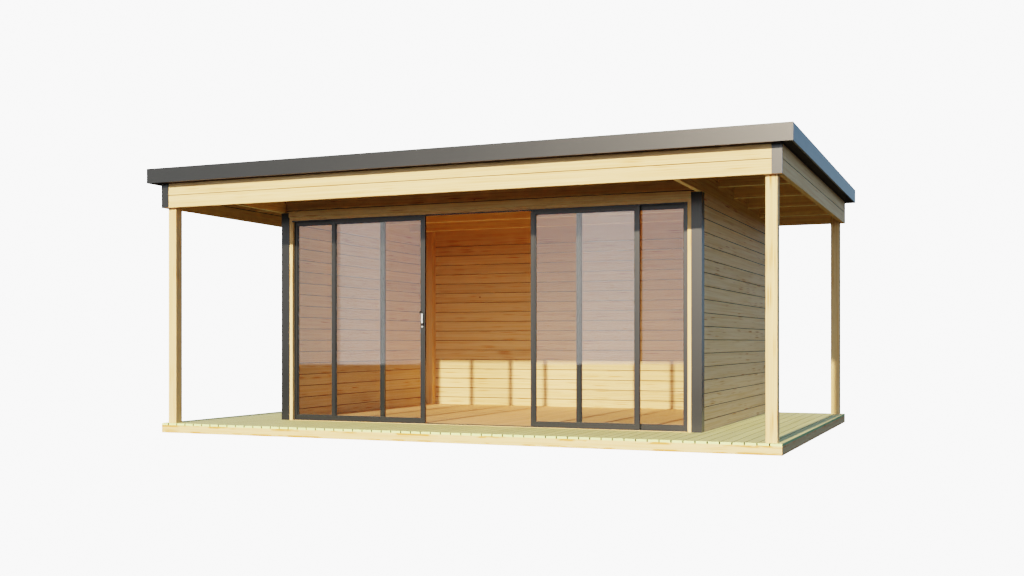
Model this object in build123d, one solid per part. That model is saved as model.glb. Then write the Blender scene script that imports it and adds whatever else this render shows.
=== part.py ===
from build123d import *
import os

# Veranda deck: ripped boards over a low ring of fascia boards and cross bearers.
deck_width = 6080.0
deck_depth = 4160.0
deck_board_thickness = 20.0
deck_fascia_height = 75.0
deck_fascia_thickness = 28.0
bearer_width = 45.0
bearer_pitch = 448.0

# Cabin: grooved wall logs between corner posts, flush with the back of the deck.
left_veranda_width = 834.0
right_veranda_width = 845.0
veranda_depth = 852.0
log_thickness = 44.0
log_height = 120.5
log_groove_width = 8.0
log_groove_depth = 4.0
post_size = 95.0
post_chamfer = 4.0
door_post_width = 94.0
floor_thickness = 28.0

# Ring beam: two logs high, flush with the deck below it and a little above the doorway.
header_drop = 53.0
beam_courses = 2

# Roof: joists on tapered wall plates fall to the back inside a level eaves box.
roof_fall_share = 0.0368
plate_depth_at_front = 182.0
joist_width = 45.0
joist_depth = 165.0
roof_board_thickness = 18.0
membrane_thickness = 2.0
eaves_overhang = 102.0
fascia_height = 144.0
fascia_drop = 4.0
fascia_thickness = 2.0
fascia_flange = 60.0
fascia_lip = 15.0
eaves_joint_gap = 0.5

# Folded metal corner trims.
trim_thickness = 2.0
cabin_trim_leg = 96.0
beam_trim_front = 85.0
beam_trim_return = 22.0

# Doorway: timber lining close behind the corner trims, under header logs and their cover board.
door_height = 2041.0
lining_setback = 4.0
lining_depth = 102.0
lining_thickness = 34.0
head_thickness = 32.0
header_setback = 21.0
header_courses = 2
header_board_height = 89.0
header_board_thickness = 38.0
sill_rise = 3.0
sill_upstand = 7.0

# Sliding doors: four aluminium panels on two tracks, the outer two fixed behind.
track_plate = 3.0
track_inset = 4.0
track_rib_width = 6.0
track_rib_height = 6.0
guide_lip_thickness = 3.0
guide_lip_height = 12.0
panel_thickness = 28.0
panel_gap = 5.5
leaf_clearance = 5.0
runner_clearance = 0.3
skirt_thickness = 4.0
stile_width = 50.0
outer_stile_width = 46.0
bottom_rail_height = 40.0
top_rail_height = 42.0
glass_thickness = 8.0
glass_bite = 8.0
bead_width = 10.0
bead_setback = 6.0
left_leaf_opening = 542.0
right_leaf_opening = 567.5
runner_length = 60.0
runner_width = 14.0
runner_inset = 90.0

# Pull handle and lock cylinder on the closing stile of the left leaf, with heights above the floor.
handle_height = 145.0
handle_centre = 1027.0
handle_bar_width = 20.0
handle_bar_depth = 8.0
handle_bar_rounding = 3.0
handle_mount_height = 26.0
handle_mount_width = 20.0
handle_mount_slope = 14.0
handle_standoff = 12.0
lock_centre = 945.0
lock_diameter = 17.0
lock_projection = 12.0

# Places that follow from the sizes above. The origin is on the ground under the deck's centre.
half_width = deck_width / 2
front = -deck_depth / 2
back = deck_depth / 2
deck_top = deck_fascia_height + deck_board_thickness
floor_top = deck_fascia_height + floor_thickness
sill_top = deck_top + sill_rise
cabin_left = -half_width + left_veranda_width
cabin_right = half_width - right_veranda_width
room_left = cabin_left + log_thickness
room_right = cabin_right - log_thickness
wall_front = front + veranda_depth
room_back = back - log_thickness
lining_front = wall_front + lining_setback
lining_back = lining_front + lining_depth
header_front = wall_front + header_setback
frame_left = cabin_left + door_post_width
frame_right = cabin_right - door_post_width
opening_left = frame_left + lining_thickness
opening_right = frame_right - lining_thickness
opening_centre = (opening_left + opening_right) / 2
half_opening = (opening_right - opening_left) / 2
head_underside = floor_top + door_height
header_underside = head_underside + head_thickness
header_top = header_underside + header_courses * log_height
beam_underside = header_underside + header_drop
beam_top = beam_underside + beam_courses * log_height
half_inside_beams = half_width - log_thickness
beam_front_inside = front + log_thickness
post_top = beam_underside + log_height
first_joist = beam_front_inside + post_size
wall_joist = header_front - joist_width
joist_pitch = wall_joist - first_joist
joist_count = int((room_back - first_joist) // joist_pitch) + 1
joist_fronts = [first_joist + number * joist_pitch for number in range(joist_count)]
fascia_low = beam_top - fascia_drop
fascia_top = fascia_low + fascia_height
eaves_top = fascia_top - fascia_thickness
half_fascia = half_width + eaves_overhang
half_eaves = half_fascia - fascia_thickness
eaves_front = front - eaves_overhang + fascia_thickness
eaves_back = back + eaves_overhang - fascia_thickness


def block(left, right, near, far, low, high):
    """A straight timber or plate between six faces."""
    size = (right - left, far - near, high - low)
    return Pos(left, near, low) * Box(*size, align=(Align.MIN, Align.MIN, Align.MIN))


def seat(y):
    """Height of the falling joist seat at a depth y."""
    return beam_underside + plate_depth_at_front - roof_fall_share * (y - front)


def falling_bar(left, right, near, far, low_near, low_far, high_near, high_far):
    """A timber along X whose upper or lower face follows the fall of the roof."""
    outline = Polygon((near, low_near), (far, low_far), (far, high_far), (near, high_near), align=None)
    return Pos(left, 0, 0) * extrude(Plane.YZ * outline, amount=right - left)


def log_section(low, high):
    """Section of stacked logs, with a V groove in both faces at every joint."""
    face = log_thickness / 2
    side = [(face, low)]
    joint = low + log_height
    while joint + log_groove_width < high:
        side.append((face, joint - log_groove_width / 2))
        side.append((face - log_groove_depth, joint))
        side.append((face, joint + log_groove_width / 2))
        joint += log_height
    side.append((face, high))
    other = [(-across, height) for across, height in reversed(side)]
    return Polygon(*side, *other, align=None)


def logs_across(left, right, near, low, high):
    """Stacked logs that run from left to right."""
    logs = extrude(Plane.YZ * log_section(low, high), amount=right - left)
    return Pos(left, near + log_thickness / 2, 0) * logs


def logs_along(left, near, far, low, high):
    """Stacked logs that run from front to back."""
    logs = extrude(Plane.XZ * log_section(low, high), amount=near - far)
    return Pos(left + log_thickness / 2, near, 0) * logs


def save(name, *solids):
    """Write one node, with its solids side by side where it has several."""
    shape = solids[0] if len(solids) == 1 else Compound(children=list(solids))
    export_step(shape, f"parts/{name}.step")


os.makedirs("parts", exist_ok=True)

# Deck frame: fascia boards round the edge and bearers from side to side between them.
half_bearer = half_width - deck_fascia_thickness
sill_line = (wall_front + lining_back) / 2
save("front_deck_fascia",
     block(-half_width, half_width, front, front + deck_fascia_thickness, 0, deck_fascia_height))
save("back_deck_fascia",
     block(-half_width, half_width, back - deck_fascia_thickness, back, 0, deck_fascia_height))
side_near = front + deck_fascia_thickness
side_far = back - deck_fascia_thickness
save("side_deck_fascias",
     block(-half_width, -half_bearer, side_near, side_far, 0, deck_fascia_height),
     block(half_bearer, half_width, side_near, side_far, 0, deck_fascia_height))
bearers = []
bearers_before_sill = int((sill_line - side_near) // bearer_pitch)
bearers_behind_sill = int((side_far - sill_line) // bearer_pitch)
for number in range(-bearers_before_sill, bearers_behind_sill + 1):
    near = sill_line + number * bearer_pitch - bearer_width / 2
    bearers.append(block(-half_bearer, half_bearer, near, near + bearer_width, 0, deck_fascia_height))
save("base_bearers", *bearers)

# Deck: the boarded surface in front of the cabin and along both of its sides.
save("front_deck", block(-half_width, half_width, front, wall_front, deck_fascia_height, deck_top))
save("left_deck", block(-half_width, cabin_left, wall_front, back, deck_fascia_height, deck_top))
save("right_deck", block(cabin_right, half_width, wall_front, back, deck_fascia_height, deck_top))

# Log walls. The side walls run from the front corner posts to the back wall.
post_back = wall_front + post_size
save("back_wall", logs_across(cabin_left, cabin_right, room_back, deck_fascia_height, beam_underside))
save("left_wall", logs_along(cabin_left, post_back, room_back, deck_fascia_height, beam_underside))
save("right_wall", logs_along(room_right, post_back, room_back, deck_fascia_height, beam_underside))

# Corner posts: the front posts stand behind the metal trims, and the back posts stand in the room.
save("cabin_front_left_post",
     block(cabin_left, frame_left, wall_front, post_back, deck_fascia_height, beam_underside))
save("cabin_front_right_post",
     block(frame_right, cabin_right, wall_front, post_back, deck_fascia_height, beam_underside))
back_posts = []
for left in (room_left, room_right - post_size):
    near = room_back - post_size
    back_posts.append(falling_bar(left, left + post_size, near, room_back, floor_top, floor_top,
                                  seat(near) + joist_depth, seat(room_back) + joist_depth))
save("cabin_back_posts", *back_posts)

# Over the doorway: logs between the posts and the plates, and a cover board over their lower edge.
header_back = header_front + log_thickness
header = block(frame_left, frame_right, header_front, header_back, header_underside, beam_underside)
header += block(room_left, room_right, header_front, header_back, beam_underside, header_top)
save("front_header", header)
save("header_board", block(frame_left, frame_right, header_front - header_board_thickness, header_front,
                           header_underside, header_underside + header_board_height))

# Timber lining of the doorway: two jambs on the sill and a head across them.
save("door_jambs",
     block(frame_left, opening_left, lining_front, lining_back, sill_top, head_underside),
     block(opening_right, frame_right, lining_front, lining_back, sill_top, head_underside))
save("door_head", block(frame_left, frame_right, lining_front, lining_back,
                        head_underside, header_underside))

# Depths of the two tracks, and heights of what runs on them.
leaf_front = lining_front
leaf_back = leaf_front + panel_thickness
leaf_middle = (leaf_front + leaf_back) / 2
fixed_front = leaf_back + panel_gap
plate_top = sill_top + track_plate
rib_top = plate_top + track_rib_height
guide_underside = head_underside - track_plate
leaf_bottom = rib_top + leaf_clearance
skirt_bottom = sill_top + leaf_clearance
leaf_top = guide_underside - leaf_clearance
fixed_bottom = sill_top + sill_upstand

# Cabin floor, and the timber sill with an upstand under the fixed panels.
save("cabin_floor", block(room_left, room_right, lining_back, room_back, deck_fascia_height, floor_top))
sill = block(frame_left, frame_right, wall_front, lining_back, deck_fascia_height, sill_top)
sill += block(opening_left, opening_right, fixed_front, lining_back, sill_top, fixed_bottom)
save("door_sill", sill)

# Tracks: a threshold plate with a running rib behind the skirts of the leaves, and a top guide with a lip before
# the leaves.
plate_near = leaf_front + skirt_thickness + leaf_clearance
guide_near = leaf_front - leaf_clearance - guide_lip_thickness
threshold = block(opening_left, opening_right, plate_near, fixed_front, sill_top, plate_top)
threshold += block(opening_left, opening_right, leaf_middle - track_rib_width / 2,
                   leaf_middle + track_rib_width / 2, plate_top, rib_top)
top_guide = block(opening_left, opening_right, guide_near, lining_back - track_inset,
                  guide_underside, head_underside)
top_guide += block(opening_left, opening_right, guide_near, guide_near + guide_lip_thickness,
                   head_underside - guide_lip_height, guide_underside)
save("door_tracks", threshold, top_guide)

# Panels: closed, the two leaves meet at the middle and each laps its fixed panel by a stile.
half_meeting_gap = leaf_clearance / 2
panel_width = (half_opening + stile_width - half_meeting_gap) / 2
glass_low = leaf_bottom + bottom_rail_height
glass_high = leaf_top - top_rail_height


def pane(left, near, far, left_stile, right_stile, margin):
    """A slab over the panel's clear opening that reaches past its edges by a margin."""
    return block(left + left_stile - margin, left + panel_width - right_stile + margin, near, far,
                 glass_low - margin, glass_high + margin)


def panel_glass(left, near, left_stile, right_stile):
    """The pane in the middle of the frame, held in a groove round its edges."""
    start = near + (panel_thickness - glass_thickness) / 2
    return pane(left, start, start + glass_thickness, left_stile, right_stile, glass_bite)


def panel_frame(left, near, low, high, left_stile, right_stile):
    """Two stiles and two rails, with a set back glazing bead on both faces and a groove for the pane."""
    far = near + panel_thickness
    bars = block(left, left + panel_width, near, far, low, high)
    bars -= pane(left, near, far, left_stile, right_stile, 0)
    bars -= pane(left, near, near + bead_setback, left_stile, right_stile, bead_width)
    bars -= pane(left, far - bead_setback, far, left_stile, right_stile, bead_width)
    return bars - panel_glass(left, near, left_stile, right_stile)


def leaf_frame(left):
    """A sliding frame with a skirt before the track and two runners on the rib of the threshold."""
    frame = panel_frame(left, leaf_front, leaf_bottom, leaf_top, stile_width, stile_width)
    frame += block(left, left + panel_width, leaf_front, leaf_front + skirt_thickness, skirt_bottom, leaf_bottom)
    for start in (left + runner_inset, left + panel_width - runner_inset - runner_length):
        frame += block(start, start + runner_length, leaf_middle - runner_width / 2,
                       leaf_middle + runner_width / 2, rib_top + runner_clearance, leaf_bottom)
    return frame


left_fixed = opening_left
right_fixed = opening_right - panel_width
left_leaf = opening_centre - half_meeting_gap - left_leaf_opening - panel_width
right_leaf = opening_centre + half_meeting_gap + right_leaf_opening
save("left_fixed_frame", panel_frame(left_fixed, fixed_front, fixed_bottom, guide_underside,
                                     outer_stile_width, stile_width))
save("left_fixed_glass", panel_glass(left_fixed, fixed_front, outer_stile_width, stile_width))
save("right_fixed_frame", panel_frame(right_fixed, fixed_front, fixed_bottom, guide_underside,
                                      stile_width, outer_stile_width))
save("right_fixed_glass", panel_glass(right_fixed, fixed_front, stile_width, outer_stile_width))
save("left_leaf_frame", leaf_frame(left_leaf))
save("left_leaf_glass", panel_glass(left_leaf, leaf_front, stile_width, stile_width))
save("right_leaf_frame", leaf_frame(right_leaf))
save("right_leaf_glass", panel_glass(right_leaf, leaf_front, stile_width, stile_width))

# Handle: a rounded bar held between two mounts that slope back to the stile, and the lock cylinder below it.
stile_centre = left_leaf + panel_width - stile_width / 2
handle_low = floor_top + handle_centre - handle_height / 2
handle_high = handle_low + handle_height
bar_low = handle_low + handle_mount_height
bar_high = handle_high - handle_mount_height
bar_back = leaf_front - handle_standoff
bar_front = bar_back - handle_bar_depth
handle_mounts = []
for outer, inner, slope_end in ((handle_low, bar_low, handle_low + handle_mount_slope),
                                (handle_high, bar_high, handle_high - handle_mount_slope)):
    side = Polygon((leaf_front, outer), (leaf_front, inner), (bar_front, inner), (bar_front, slope_end), align=None)
    mount = extrude(Plane.YZ * side, amount=handle_mount_width)
    handle_mounts.append(Pos(stile_centre - handle_mount_width / 2, 0, 0) * mount)
save("handle_mounts", *handle_mounts)
handle_bar = block(stile_centre - handle_bar_width / 2, stile_centre + handle_bar_width / 2,
                   bar_front, bar_back, bar_low, bar_high)
save("handle_bar", fillet(handle_bar.edges().filter_by(Axis.Z), handle_bar_rounding))
lock_barrel = Cylinder(lock_diameter / 2, lock_projection, rotation=(90, 0, 0),
                       align=(Align.CENTER, Align.CENTER, Align.MIN))
save("lock_cylinder", Pos(stile_centre, leaf_front, floor_top + lock_centre) * lock_barrel)

# Veranda posts: on the deck, inside the corners of the ring beam.
post_side = half_inside_beams - post_size
for side, left in (("left", -half_inside_beams), ("right", post_side)):
    for end, near in (("front", beam_front_inside), ("back", room_back - post_size)):
        post = block(left, left + post_size, near, near + post_size, deck_top, post_top)
        save(f"veranda_{end}_{side}_post", chamfer(post.edges().filter_by(Axis.Z), post_chamfer))

# Ring beam: the front and back beams run through, and the side beams fit between them.
save("front_beam", logs_across(-half_width, half_width, front, beam_underside, beam_top))
save("back_beam", logs_across(-half_width, half_width, room_back, beam_underside, beam_top))
save("left_beam", logs_along(-half_width, beam_front_inside, room_back, beam_underside, beam_top))
save("right_beam", logs_along(half_inside_beams, beam_front_inside, room_back, beam_underside, beam_top))

# Wall plates: tapered logs over the side walls, from beam to beam, that give the roof its fall.
for side, left in (("left", cabin_left), ("right", room_right)):
    save(f"{side}_plate", falling_bar(left, left + log_thickness, beam_front_inside, room_back,
                                      beam_underside, beam_underside,
                                      seat(beam_front_inside), seat(room_back)))

# Joists from side beam to side beam over the plates, and logs that block the bays over the walls.
joists = []
for near in joist_fronts:
    far = near + joist_width
    joists.append(falling_bar(-half_inside_beams, half_inside_beams, near, far, seat(near), seat(far),
                              seat(near) + joist_depth, seat(far) + joist_depth))
save("roof_joists", *joists)
blocking = []
bay_ends = [near for near in joist_fronts if near > header_front] + [room_back]
bay_starts = [near + joist_width for near in joist_fronts if near >= wall_joist]
for near, far in zip(bay_starts, bay_ends):
    for left in (cabin_left, room_right):
        blocking.append(falling_bar(left, left + log_thickness, near, far, seat(near), seat(far),
                                    seat(near) + joist_depth, seat(far) + joist_depth))
save("joist_blocking", *blocking)

# Roof: one falling surface of boards inside the eaves box, and the sheet membrane on it.
boards_near = seat(beam_front_inside) + joist_depth
boards_far = seat(room_back) + joist_depth
sheet_near = boards_near + roof_board_thickness
sheet_far = boards_far + roof_board_thickness
save("roof_boards", falling_bar(-half_inside_beams, half_inside_beams, beam_front_inside, room_back,
                                boards_near, boards_far, sheet_near, sheet_far))
save("roof_membrane", falling_bar(-half_inside_beams, half_inside_beams, beam_front_inside, room_back,
                                  sheet_near, sheet_far,
                                  sheet_near + membrane_thickness, sheet_far + membrane_thickness))

# Boxed eaves on top of the ring beam, level all round.
side_eaves_near = beam_front_inside + eaves_joint_gap
side_eaves_far = room_back - eaves_joint_gap
save("eaves_boxes",
     block(-half_eaves, half_eaves, eaves_front, beam_front_inside, beam_top, eaves_top),
     block(-half_eaves, half_eaves, room_back, eaves_back, beam_top, eaves_top),
     block(-half_eaves, -half_inside_beams, side_eaves_near, side_eaves_far, beam_top, eaves_top),
     block(half_inside_beams, half_eaves, side_eaves_near, side_eaves_far, beam_top, eaves_top))

# Metal roof fascia: an upright face, a flange turned in over the eaves box and a lip turned in under it.
flange_near = eaves_front + fascia_flange
flange_far = eaves_back - fascia_flange
for end, face, flange_start, lip_start in (
        ("front", eaves_front - fascia_thickness, eaves_front, eaves_front),
        ("back", eaves_back, flange_far, eaves_back - fascia_lip)):
    trim = block(-half_fascia, half_fascia, face, face + fascia_thickness, fascia_low, fascia_top)
    trim += block(-half_fascia, half_fascia, flange_start, flange_start + fascia_flange,
                  eaves_top, fascia_top)
    trim += block(-half_fascia, half_fascia, lip_start, lip_start + fascia_lip, fascia_low, beam_top)
    save(f"{end}_fascia", trim)
lip_near = eaves_front + fascia_lip
lip_far = eaves_back - fascia_lip
for side, face, flange_start, lip_start in (
        ("left", -half_fascia, -half_eaves, -half_eaves),
        ("right", half_eaves, half_eaves - fascia_flange, half_eaves - fascia_lip)):
    trim = block(face, face + fascia_thickness, eaves_front, eaves_back, beam_top, eaves_top)
    trim += block(face, face + fascia_thickness, flange_near, flange_far, eaves_top, fascia_top)
    trim += block(flange_start, flange_start + fascia_flange, flange_near, flange_far, eaves_top, fascia_top)
    trim += block(face, face + fascia_thickness, lip_near, lip_far, fascia_low, beam_top)
    trim += block(lip_start, lip_start + fascia_lip, lip_near, lip_far, fascia_low, beam_top)
    save(f"{side}_fascia", trim)


def corner_angle(corner_x, corner_y, leg_x, leg_y, low, high):
    """A folded angle outside an upright corner, with one leg along X and one along Y."""
    out_x = corner_x + (trim_thickness if corner_x > 0 else -trim_thickness)
    out_y = corner_y + (trim_thickness if corner_y > 0 else -trim_thickness)
    end_x = out_x + (-leg_x if corner_x > 0 else leg_x)
    end_y = out_y + (-leg_y if corner_y > 0 else leg_y)
    angle = block(*sorted((out_x, end_x)), *sorted((corner_y, out_y)), low, high)
    return angle + block(*sorted((corner_x, out_x)), *sorted((out_y, end_y)), low, high)


# Folded metal angles on the cabin's corners and on the corners of the ring beam.
cabin_angles = []
beam_angles = []
for cabin_side, beam_side in ((cabin_left, -half_width), (cabin_right, half_width)):
    for cabin_end, beam_end in ((wall_front, front), (back, back)):
        cabin_angles.append(corner_angle(cabin_side, cabin_end, cabin_trim_leg, cabin_trim_leg,
                                         deck_top, beam_underside))
        beam_angles.append(corner_angle(beam_side, beam_end, beam_trim_front, beam_trim_return,
                                        beam_underside, fascia_low))
save("cabin_corner_trims", *cabin_angles)
save("beam_corner_trims", *beam_angles)
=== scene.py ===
import math

import bmesh
import bpy
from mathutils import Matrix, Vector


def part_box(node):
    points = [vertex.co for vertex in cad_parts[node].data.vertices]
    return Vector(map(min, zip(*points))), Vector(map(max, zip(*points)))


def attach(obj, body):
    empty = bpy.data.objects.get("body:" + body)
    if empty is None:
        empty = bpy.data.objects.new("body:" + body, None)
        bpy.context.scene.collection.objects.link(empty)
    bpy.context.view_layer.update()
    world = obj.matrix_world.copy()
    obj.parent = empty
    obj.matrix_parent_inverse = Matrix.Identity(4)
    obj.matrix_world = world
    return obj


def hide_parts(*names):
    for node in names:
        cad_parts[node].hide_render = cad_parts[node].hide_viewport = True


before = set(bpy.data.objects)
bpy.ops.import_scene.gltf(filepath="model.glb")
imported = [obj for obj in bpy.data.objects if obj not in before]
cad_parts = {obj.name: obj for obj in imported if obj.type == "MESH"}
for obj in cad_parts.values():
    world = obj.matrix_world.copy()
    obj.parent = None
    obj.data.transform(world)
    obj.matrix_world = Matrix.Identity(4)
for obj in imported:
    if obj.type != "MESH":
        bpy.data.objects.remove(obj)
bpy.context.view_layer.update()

# Deck frame: planed spruce fascia boards round the edge and bearers between them, nailed together and laid on
# level ground. The boards are pale, and orange resin shows along their edges.


def srgb(hex_colour):
    """A hex colour as linear red, green, blue and alpha."""
    parts = [int(hex_colour[i:i + 2], 16) / 255 for i in (1, 3, 5)]
    return [p / 12.92 if p <= 0.04045 else ((p + 0.055) / 1.055) ** 2.4 for p in parts] + [1.0]


def fit(tree, kind, inputs=(), **settings):
    """Adds one node with its settings. inputs maps a socket's name or number to a value or another socket."""
    made = tree.nodes.new(kind)
    for key, value in settings.items():
        setattr(made, key, value)
    for key, value in dict(inputs).items():
        if isinstance(value, bpy.types.NodeSocket):
            tree.links.new(value, made.inputs[key])
        else:
            made.inputs[key].default_value = value
    return made


def blank(name):
    """A new material without nodes, and its tree."""
    made = bpy.data.materials.new(name)
    made.use_nodes = True
    made.node_tree.nodes.clear()
    return made, made.node_tree


# What planed softwood shows, each as a length along the grain and a width across it, in metres.
# Real fibres are finer, and are drawn 2.4 mm wide so that they show.
GROWTH_BAND = (1.1, 0.014)
RESIN_STREAK = (0.32, 0.013)
RESIN_PATCH = (0.9, 0.11)
KNOT_SPACING = (0.20, 0.12)
FIBRE = (0.083, 0.0024)
JOINT_DARK = "#4A2F17"
# The turn that lays the grain along each axis, and the most that one board's wood is slid against another's.
GRAIN_TURN = {"X": (0.0, 0.0, 0.0), "Y": (0.0, 0.0, math.pi / 2), "Z": (0.0, math.pi / 2, 0.0)}
WOOD_SLIDE = 37.0


def stretched(size):
    """The scale of a pattern that is as long and as wide as this size."""
    return (1.0 / size[0], 1.0 / size[1], 1.0 / size[1])


def timber(name, grain, colours, streaks=0.5, roughness=0.62, tone=0.05, courses=None, board=None):
    """Planed softwood. It gives the eye long soft growth bands, brown resin streaks and small round knots.
    streaks is the strength of its marks, and tone how much lighter or darker one board is than another.
    courses is the axis, start, pitch and joint of stacked logs or laid boards, so that each has wood of its own.
    board is the name of the attribute that does the same for separate boards."""
    made, tree = blank(name)
    place = fit(tree, "ShaderNodeTexCoord").outputs["Object"]
    turned = fit(tree, "ShaderNodeMapping", {"Vector": place, "Rotation": GRAIN_TURN[grain]}).outputs["Vector"]
    own = None
    if courses:
        axis, start, pitch, joint = courses
        across = fit(tree, "ShaderNodeSeparateXYZ", {"Vector": place}).outputs[axis]
        course = fit(tree, "ShaderNodeMapRange", {"Value": across, "From Min": start, "From Max": start + pitch},
                     clamp=False).outputs[0]
        number = fit(tree, "ShaderNodeMath", {0: course}, operation="FLOOR").outputs[0]
        own = fit(tree, "ShaderNodeTexWhiteNoise", {"W": number}, noise_dimensions="1D").outputs["Value"]
    if board:
        own = fit(tree, "ShaderNodeAttribute", attribute_name=board).outputs["Fac"]
    if own:
        slide = fit(tree, "ShaderNodeMath", {0: own, 1: WOOD_SLIDE}, operation="MULTIPLY").outputs[0]
        slide = fit(tree, "ShaderNodeCombineXYZ", {"X": slide, "Y": slide, "Z": slide}).outputs[0]
        turned = fit(tree, "ShaderNodeVectorMath", {0: turned, 1: slide}, operation="ADD").outputs[0]
    # Growth bands run for a metre or more along the board.
    bands = fit(tree, "ShaderNodeMapping", {"Vector": turned, "Scale": stretched(GROWTH_BAND)}).outputs[0]
    bands = fit(tree, "ShaderNodeTexNoise", {"Vector": bands, "Scale": 1.0, "Detail": 3.0, "Roughness": 0.55,
                                             "Distortion": 0.6}).outputs["Fac"]
    bands = fit(tree, "ShaderNodeMapRange", {"Value": bands, "From Min": 0.30, "From Max": 0.62}).outputs[0]
    wood = fit(tree, "ShaderNodeMix", {0: bands, 6: srgb(colours["dark"]), 7: srgb(colours["pale"])},
               data_type="RGBA").outputs[2]
    # Resin streaks are lens shaped, and stand in patches.
    lens = fit(tree, "ShaderNodeMapping", {"Vector": turned, "Scale": stretched(RESIN_STREAK)}).outputs[0]
    lens = fit(tree, "ShaderNodeTexVoronoi", {"Vector": lens, "Scale": 1.0})
    chance = fit(tree, "ShaderNodeSeparateColor", {"Color": lens.outputs["Color"]}).outputs["Red"]
    chance = fit(tree, "ShaderNodeMapRange", {"Value": chance, "From Min": 0.55, "From Max": 0.75}).outputs[0]
    core = fit(tree, "ShaderNodeMapRange", {"Value": lens.outputs["Distance"], "From Min": 0.45, "From Max": 0.18})
    patch = fit(tree, "ShaderNodeMapping", {"Vector": turned, "Scale": stretched(RESIN_PATCH)}).outputs[0]
    patch = fit(tree, "ShaderNodeTexNoise", {"Vector": patch, "Scale": 1.0, "Detail": 2.0}).outputs["Fac"]
    patch = fit(tree, "ShaderNodeMapRange", {"Value": patch, "From Min": 0.42, "From Max": 0.62,
                                             "To Max": streaks}).outputs[0]
    mark = fit(tree, "ShaderNodeMath", {0: chance, 1: core.outputs[0]}, operation="MULTIPLY").outputs[0]
    mark = fit(tree, "ShaderNodeMath", {0: mark, 1: patch}, operation="MULTIPLY", use_clamp=True).outputs[0]
    wood = fit(tree, "ShaderNodeMix", {0: mark, 6: wood, 7: srgb(colours["streak"])}, data_type="RGBA").outputs[2]
    # Knots are 8 to 15 mm across, and only some places have one.
    knots = fit(tree, "ShaderNodeMapping", {"Vector": turned, "Scale": stretched(KNOT_SPACING)}).outputs[0]
    knots = fit(tree, "ShaderNodeTexVoronoi", {"Vector": knots, "Scale": 1.0})
    rare = fit(tree, "ShaderNodeSeparateColor", {"Color": knots.outputs["Color"]}).outputs["Green"]
    rare = fit(tree, "ShaderNodeMapRange", {"Value": rare, "From Min": 0.90, "From Max": 0.93,
                                            "To Max": streaks}).outputs[0]
    spot = fit(tree, "ShaderNodeMapRange", {"Value": knots.outputs["Distance"], "From Min": 0.085,
                                            "From Max": 0.035}).outputs[0]
    spot = fit(tree, "ShaderNodeMath", {0: rare, 1: spot}, operation="MULTIPLY").outputs[0]
    wood = fit(tree, "ShaderNodeMix", {0: spot, 6: wood, 7: srgb(colours["knot"])}, data_type="RGBA").outputs[2]
    if own:
        bright = fit(tree, "ShaderNodeMapRange", {"Value": own, "To Min": 1.0 - tone, "To Max": 1.0 + tone})
        wood = fit(tree, "ShaderNodeHueSaturation", {"Color": wood, "Value": bright.outputs[0]}).outputs[0]
    if courses:
        # The dark of the joint between two logs or boards. The first one's outer edge has none.
        gap = joint / pitch / 2
        near = fit(tree, "ShaderNodeMath", {0: course, 1: 0.5}, operation="PINGPONG").outputs[0]
        line = fit(tree, "ShaderNodeMapRange", {"Value": near, "From Min": gap, "From Max": gap / 2}).outputs[0]
        inner = fit(tree, "ShaderNodeMapRange", {"Value": course, "From Min": 0.1, "From Max": 0.2}).outputs[0]
        line = fit(tree, "ShaderNodeMath", {0: line, 1: inner}, operation="MULTIPLY").outputs[0]
        wood = fit(tree, "ShaderNodeMix", {0: line, 6: wood, 7: srgb(JOINT_DARK)}, data_type="RGBA").outputs[2]
    # The fibres stand out a little, and the dense dark bands are duller than the pale ones.
    fibres = fit(tree, "ShaderNodeMapping", {"Vector": turned, "Scale": stretched(FIBRE)}).outputs[0]
    fibres = fit(tree, "ShaderNodeTexNoise", {"Vector": fibres, "Scale": 1.0, "Detail": 2.0}).outputs["Fac"]
    relief = fit(tree, "ShaderNodeBump", {"Height": fibres, "Strength": 0.12, "Distance": 0.001}).outputs[0]
    sheen = fit(tree, "ShaderNodeMapRange", {"Value": bands, "To Min": roughness + 0.06,
                                             "To Max": roughness - 0.04})
    finish = fit(tree, "ShaderNodeBsdfPrincipled", {"Base Color": wood, "Roughness": sheen.outputs[0],
                                                    "Normal": relief, "Specular IOR Level": 0.2})
    fit(tree, "ShaderNodeOutputMaterial", {"Surface": finish.outputs[0]})
    return made


def dress(material, *names):
    """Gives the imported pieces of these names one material."""
    for name in names:
        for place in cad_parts[name].material_slots:
            place.material = material


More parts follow.
